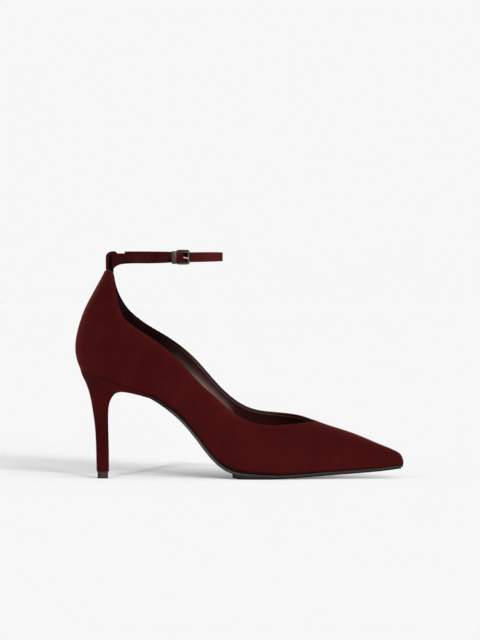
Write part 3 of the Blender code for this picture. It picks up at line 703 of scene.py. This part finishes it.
# Painted shade darkens the lining towards the heel, and its third colour is a painted highlight.
lining_leather = graded_leather(
    "glossy_lining", -62, -30,
    ((0.0060, 0.0009, 0.0009), (0.0300, 0.0060, 0.0056), (0.2000, 0.0780, 0.0560)),
    roughness=0.5, gloss=(0.01, 0.48), dull=(-30, -4, 0.35),
)
# The cut edge: pale as a painted highlight, dark towards the heel as painted shade.
cut_leather = graded_leather(
    "cut_leather", -50, -30,
    ((0.0080, 0.0030, 0.0030), (0.1300, 0.0780, 0.0740), (0.1300, 0.0780, 0.0740)),
    roughness=0.6, gloss=(0.01, 0.05),
)
sole_paint = graded_leather(
    "sole_paint", -45, 15,
    ((0.0500, 0.0500, 0.0460), (0.0260, 0.0250, 0.0230), (0.0110, 0.0028, 0.0026)),
    roughness=0.55, gloss=(0.1, 0.05),
)
print("graded leather:", lining_leather.name, cut_leather.name, sole_paint.name)

# %% [markdown]
# ## Metal
# The buckle's frame and the keeper are dark plated metal with a dulled finish. The prong is given a far
# brighter metal, a painted highlight. Each has a little noise in its colour and its roughness, because an
# even grey reads as plastic.


# %% Metals
def metal(name, dark, light, roughness):
    """Metal with faint cloudy wear."""
    made, shader = new_material(name, roughness, 1.0)
    tree = made.node_tree
    place = tree.nodes.new("ShaderNodeTexCoord").outputs["Object"]
    wear = noise(tree, place, 900.0, 3.0)
    tree.links.new(colour_ramp(made, wear, (0.3, *dark), (0.7, *light)), shader.inputs["Base Color"])
    rub = spread(tree, noise(tree, place, 2400.0), 0.3, 0.7, roughness * 0.8, roughness * 1.2)
    tree.links.new(rub, shader.inputs["Roughness"])
    return made


gunmetal = metal("dark_buckle_metal", (0.050, 0.040, 0.036), (0.095, 0.078, 0.070), 0.38)
keeper_metal = metal("keeper_metal", (0.029, 0.023, 0.020), (0.068, 0.057, 0.048), 0.48)
satin_metal = metal("prong_metal_painted_highlight", (0.34, 0.30, 0.28), (0.50, 0.45, 0.42), 0.34)
print("metals:", gunmetal.name, keeper_metal.name, satin_metal.name)

# %% [markdown]
# ## Upper
# The upper is suede pulled over the last. The frame's solid has the right wall, so a copy is enough and
# nothing has to be modelled anew. Its collar is moved by a millimetre or two at most: lifted from the throat
# backwards and once more along the arch, and sagging on the outer side, as a soft topline does. The panel of
# the inner wall is then lifted off to become the lining.

# %% Upper: collar and inner wall
RIM_LIFT = 0.55 * MM
ARCH_LIFT = 0.7 * RIM_LIFT
RIM_DROP = 2.2 * MM
upper = copy_of("upper", "suede_upper")
seam_sharp(upper)


def highest(face):
    """Finds the collar's rim."""
    return face.center.z


def lowest(face):
    """Finds the edge at the sole."""
    return -face.center.z


def inner_wall(face):
    """Finds the inside, by a face of the far wall that looks across the shoe."""
    return -face.normal.y if face.center.y > 0.3 * cad_high.y else -1.0


pick_panel(upper, highest)
leave()
rim_corners = {corner for face in upper.data.polygons if face.select for corner in face.vertices}
for number in rim_corners:
    place = upper.data.vertices[number].co
    sag = between(place.y, -2, -10) * between(place.x, -98, -88) * between(place.x, -18, -36)
    sag *= 1.0 - 0.6 * between(place.x, -70, -58) * between(place.x, -38, -48)
    arch = between(place.y, -2, 10) * between(place.x, -68, -56) * between(place.x, -12, -28)
    place.z += RIM_LIFT * between(place.x, 2, -33) + ARCH_LIFT * arch - RIM_DROP * sag

pick_panel(upper, inner_wall)
bpy.ops.mesh.duplicate()
bpy.ops.mesh.separate(type="SELECTED")
leave()
lining = [piece for piece in bpy.context.selected_objects if piece is not upper][0]
lining.name = "leather_lining"
print("rim corners:", len(rim_corners), "lining faces:", len(lining.data.polygons))

# %% [markdown]
# ## Upper: a full vamp and a folded rim
# Over the toes the suede stands half a millimetre fuller than the solid. The top edge is folded in, so the
# collar shows a soft round rim where the solid is square. Rim and sole edge are creased, so that subdividing
# takes the facets away and leaves these edges in place, and then the rim's two edges are bevelled towards a
# half round. A bevel alone would leave the facets, and subdividing alone would shrink the rim.

# %% Upper: vamp and rim
RIM_ROUND = 0.62 * MM
VAMP_FULLNESS = 0.5 * MM


def vamp_top(corner):
    """The share of the vamp's fullness: all of it on top of the toes and none on the sides."""
    return between(corner.co.x, 38, 58) * between(corner.co.x, 106, 92) * max(0.0, corner.normal.z)


fatten(upper, 0.2 * MM)
swell(upper, vamp_top, VAMP_FULLNESS)
for measure in (lowest, highest):
    pick_panel(upper, measure)
    bpy.ops.mesh.region_to_loop()
    bpy.ops.transform.edge_crease(value=1.0)
    leave()
round_form(upper, 1)
inside = border_line(upper, inner_wall)
rim = border_line(upper, highest)
feather = border_line(upper, lowest) - inside
pick_panel(upper, highest)
bpy.ops.mesh.region_to_loop()
bpy.ops.mesh.bevel(offset=RIM_ROUND, segments=3, affect="EDGES", clamp_overlap=True)
leave()
round_form(upper, 1)
print("edges along the rim:", len(rim), "and along the sole:", len(feather))

# %% [markdown]
# ## Upper: fold, painted shade and painted light
# The inner half of the rim is coloured darker, and along the throat it turns to a paler line. Beside the
# collar the suede carries a painted highlight, and towards the toe painted light. Where the suede turns in
# under the sole a painted shade darkens it, most at the waist. Distances to the rim and the sole edge say
# where all of this lies.

# %% Upper: marks
FOLD_BLEND = 0.6 * MM
FOLD_WIDE = 4.0 * MM
FOLD_DARK = 0.65
UNDER_SHADE_WIDE = 1.8 * MM
UNDER_SHADE_DARK = 0.7
RIM_HIGHLIGHT_WIDE = 5.0 * MM
TOE_PAINTED_LIGHT = 0.4
to_inner_rim = gaps_to(upper, rim & inside)
to_outer_rim = gaps_to(upper, rim - inside)
to_feather = gaps_to(upper, feather)
dark_fold_and_painted_shade, painted_light_and_end_dye, paler_throat_rim = [], [], []
for corner, outer, inner, under in zip(upper.data.vertices, to_outer_rim, to_inner_rim, to_feather):
    x = corner.co.x
    turned_in = clamp(min((outer - inner) / FOLD_BLEND, (FOLD_WIDE - inner) / MM))
    waist = between(x, -80, -50)
    toe = between(x, -10, 110)
    # Painted shade where the suede turns in under the sole: most at the waist, least at the toe.
    painted_under_shade = UNDER_SHADE_DARK + 0.5 * waist - 0.3 * toe - under / (UNDER_SHADE_WIDE * (1.0 + waist - toe))
    # Painted highlight beside the collar's outer rim, and painted light towards the toe.
    painted_lightening = max(1.0 - outer / RIM_HIGHLIGHT_WIDE, TOE_PAINTED_LIGHT * between(x, -10, 100))
    # The darker fold on the rim's inner half, or the painted shade under the sole, whichever is darker.
    dark_fold_and_painted_shade.append(max(FOLD_DARK * turned_in, painted_under_shade))
    painted_light_and_end_dye.append(painted_lightening * (1.0 - turned_in))
    # Along the throat the rim's inner half turns paler.
    paler_throat_rim.append(turned_in * between(x, -45, -38) * between(x, 38, 28))
mark(upper, "dark_fold_and_painted_shade", dark_fold_and_painted_shade)
mark(upper, "painted_light_and_end_dye", painted_light_and_end_dye)
mark(upper, "paler_throat_rim", paler_throat_rim)
dress(upper, burgundy_suede, "suede", "upper")

# %% [markdown]
# ## Lining
# Inside, a thin leather lining is glued to the suede and trimmed a little below the rim's fold, which leaves
# a fine cut edge all round the collar, painted pale as a highlight and dark at the heel as painted shade.
# The inner wall of the upper already has its shape. That panel was lifted off above; here it is trimmed with
# an inset and given its own thickness towards the foot. Along the arch the lining stands a little full, and
# this soft swelling catches the light there, with a painted highlight along its crest as well.

# %% Leather lining
FOLD_DEPTH = 1.6 * MM
LINING_THICK = 0.45 * MM
CUT_ROUND = 0.36 * MM
ARCH_FULLNESS = 1.3 * MM
edit(lining, action="SELECT")
bpy.ops.mesh.inset(thickness=FOLD_DEPTH, use_boundary=True, use_even_offset=False)
bpy.ops.mesh.select_all(action="INVERT")
bpy.ops.mesh.delete(type="FACE")
bpy.ops.mesh.select_all(action="SELECT")
bpy.ops.mesh.subdivide(number_cuts=1)
leave()
fullness = swell(lining, soft_line((-51, 89), (-9.5, 50.5), 9), ARCH_FULLNESS)
# A painted highlight along the crest of the swelling, in the lining's third colour.
mark(lining, "painted_light_and_end_dye", [0.6 * share ** 2 for share in fullness])

edit(lining, "EDGE", "SELECT")
bpy.ops.mesh.region_to_loop()
bpy.ops.mesh.duplicate()
bpy.ops.mesh.separate(type="SELECTED")
leave()
cut_edge = [piece for piece in bpy.context.selected_objects if piece is not lining][0]
cut_edge.name = "lining_cut_edge"
add_modifier(
    lining, "SOLIDIFY", thickness=LINING_THICK, offset=1.0, edge_crease_outer=1.0, edge_crease_inner=1.0,
)
round_form(lining, 1)
dress(lining, lining_leather, "lining_leather")

only(cut_edge)
bpy.ops.object.convert(target="CURVE")
cut_edge.data.bevel_depth = CUT_ROUND
cut_edge.data.bevel_resolution = 1
bpy.ops.object.convert(target="MESH")
dress(cut_edge, cut_leather, "lining_leather")

# %% [markdown]
# ## Insole
# The insole board is covered with a leather sock that the foot stands on. It lies in the frame as a plain
# strip with square edges. Its copy gets eased edges and a grained leather of its own.

# %% Leather sock
sock = copy_of("insole", "insole_sock")
ease_edges(sock, 0.5 * MM, 50)
dress(sock, sock_leather, "lining_leather", "insole", smooth=40)

# %% [markdown]
# ## Heel
# The slender heel is a moulded core wrapped in the same suede, with a hard top piece nailed under it. The
# copy's corners beside the breast are rounded, as leather pulled round an edge is, before it is smoothed.
# The top piece is drawn in, because it is a little narrower than the cover above it. Both also throw the thin
# shadow of the heel, so they join that lamp's collection.

# %% Covered heel and top piece
TOP_PIECE_FIT = (0.87, 0.95, 1.0)
heel = copy_of("heel", "heel_cover")
fatten(heel, 0.25 * MM)
ease_edges(heel, 0.45 * MM, 45)
round_form(heel, 1)
dress(heel, heel_suede, "suede", "heel")
heel_shade.objects.link(heel)
top_piece = copy_of("top_piece", "heel_top_piece")
resize(top_piece, TOP_PIECE_FIT)
ease_edges(top_piece, 0.35 * MM, 45)
dress(top_piece, top_rubber, "rubber", "top_piece", smooth=35)
heel_shade.objects.link(top_piece)

# %% [markdown]
# ## Sole
# A thin outsole with a painted edge runs from the toe up the arch to the heel, and a rubber tread is glued
# under its forepart, with a step where it ends. Both keep their form and get eased edges, and modelling them
# anew would add nothing. At the waist the outsole is swelled by a hair, where the real one looks thicker. Its
# end at the heel is marked to take the dark red of the cover, and the rear edge of the tread is lifted off
# the floor.

# %% Outsole and tread
WAIST_FULLNESS = 0.38 * MM
BACK_LIFT = 1.4 * MM


def waist_part(corner):
    """The share of the waist's fullness: none at the ball and all of it behind."""
    return between(corner.co.x, 20, -5)


outsole = copy_of("outsole", "painted_outsole")
swell(outsole, waist_part, WAIST_FULLNESS)
ease_edges(outsole, 0.22 * MM, 45)
# The sole's end takes the dark red of the heel cover, its own colour.
mark(outsole, "painted_light_and_end_dye", [between(corner.co.x, -49, -55) for corner in outsole.data.vertices])
dress(outsole, sole_paint, "sole_leather", "outsole", smooth=40)
tread = copy_of("forepart_tread", "rubber_tread")
back_end = min(corner.co.x for corner in tread.data.vertices)
for corner in tread.data.vertices:
    on_floor = corner.co.z < 0.5 * MM
    corner.co.z += BACK_LIFT * between(corner.co.x - back_end, 2, 0) * on_floor
ease_edges(tread, 0.18 * MM, 45)
dress(tread, black_rubber, "rubber", "forepart_tread", smooth=40)

# %% [markdown]
# ## Strap
# The strap is a strip of suede with turned edges. It runs through a loop on the heel tab, round the ankle
# and through the buckle, and its tail lies back over itself. The frame has the path and the punched hole,
# so the copy only needs its edges rounded. Suede presses out a little, most where two layers lie on each
# other, so the strip is spread in height about its middle line and more behind the buckle.

# %% Ankle strap
STRAP_SPREAD = 0.05
STRAP_MIDDLE = 167 * MM
DOUBLED_SPREAD = 0.13
DOUBLED_MIDDLE = 171 * MM
strap = copy_of("ankle_strap", "suede_strap")
ease_edges(strap, 0.18 * MM, 55)
for corner in strap.data.vertices:
    doubled = between(corner.co.x, -47, -53) * between(corner.co.y, 0, -8)
    wider = STRAP_SPREAD * (corner.co.z - STRAP_MIDDLE)
    wider += DOUBLED_SPREAD * doubled * (corner.co.z - DOUBLED_MIDDLE)
    corner.co.z += wider
dress(strap, strap_suede, "suede", "ankle_strap", smooth=40)

# %% [markdown]
# ## Strap loop
# A small suede loop is sewn to the top of the heel tab and holds the strap. The solid ends where it meets
# the tab, so the copy's underside is drawn down to a neck, its crown leans forward over the strap, and a
# small rounded foot closes the gap between loop and tab. One long loop could be bent from a strip, but its
# ends would be hidden anyway.

# %% Strap loop
NECK_DEPTH = 2.6 * MM
NECK_TOP = 161.5 * MM
CROWN_LEAN = 1.2 * MM
CROWN_DROP = 0.5 * MM
loop = copy_of("strap_loop", "suede_loop")
fatten(loop, 0.25 * MM)
edit(loop)
leave()
for face in loop.data.polygons:
    face.select = face.center.z < NECK_TOP and face.normal.z < -0.6
bpy.ops.object.mode_set(mode="EDIT")
bpy.ops.mesh.extrude_region_move(TRANSFORM_OT_translate={"value": (0.0, 0.0, -NECK_DEPTH)})
leave()
for corner in loop.data.vertices:
    crown = between(corner.co.z, 164, 171)
    corner.co.x += CROWN_LEAN * crown * between(corner.co.x, -102, -98)
    corner.co.z -= CROWN_DROP * crown
ease_edges(loop, 0.3 * MM, 55)
dress(loop, loop_suede, "suede", "strap_loop", smooth=40)

FOOT_PLACE = (-99.6 * MM, -0.3 * MM, 161.0 * MM)
FOOT_SIZE = (3.4 * MM, 9.0 * MM, 5.4 * MM)
bpy.ops.mesh.primitive_cube_add(size=1.0, location=FOOT_PLACE)
foot = bpy.context.object
foot.name = "loop_foot"
foot.scale = FOOT_SIZE
bpy.ops.object.transform_apply(location=True, rotation=True, scale=True)
ease_edges(foot, 0.8 * MM, 30, 3)
dress(foot, loop_suede, "suede", smooth=60)

# %% [markdown]
# ## Buckle
# A small square frame of dark metal, a bright prong that turns on its hinge bar, and a dark keeper that holds
# the tail down. All three are copies of the frame's solids. Cast metal is round at the edges, so frame and
# prong are fattened and subdivided, while the keeper is bent from sheet and only gets eased edges. Small fits
# bring them to the sizes that they show: the frame a little narrower and taller, the keeper wider, the prong
# set back.

# %% Buckle frame, prong and keeper
FRAME_FIT = (0.955, 1.0, 1.03)
PRONG_SHIFT = (-1.0 * MM, 0.0, 0.15 * MM)
KEEPER_FIT = (1.28, 1.0, 1.06)
KEEPER_SHIFT = (0.25 * MM, 0.0, -0.2 * MM)
buckle = copy_of("buckle_frame", "buckle_square")
fatten(buckle, 0.28 * MM)
resize(buckle, FRAME_FIT)
round_form(buckle, 1)
dress(buckle, gunmetal, "gunmetal", "buckle_frame")
prong = copy_of("buckle_prong", "buckle_tongue")
fatten(prong, 0.36 * MM)
move(prong, PRONG_SHIFT)
ease_edges(prong, 0.2 * MM, 60)
round_form(prong, 1)
dress(prong, satin_metal, "satin_metal", "buckle_prong")
keeper = copy_of("strap_keeper", "metal_keeper")
resize(keeper, KEEPER_FIT)
move(keeper, KEEPER_SHIFT)
ease_edges(keeper, 0.18 * MM, 60)
dress(keeper, keeper_metal, "satin_metal", "strap_keeper", smooth=40)
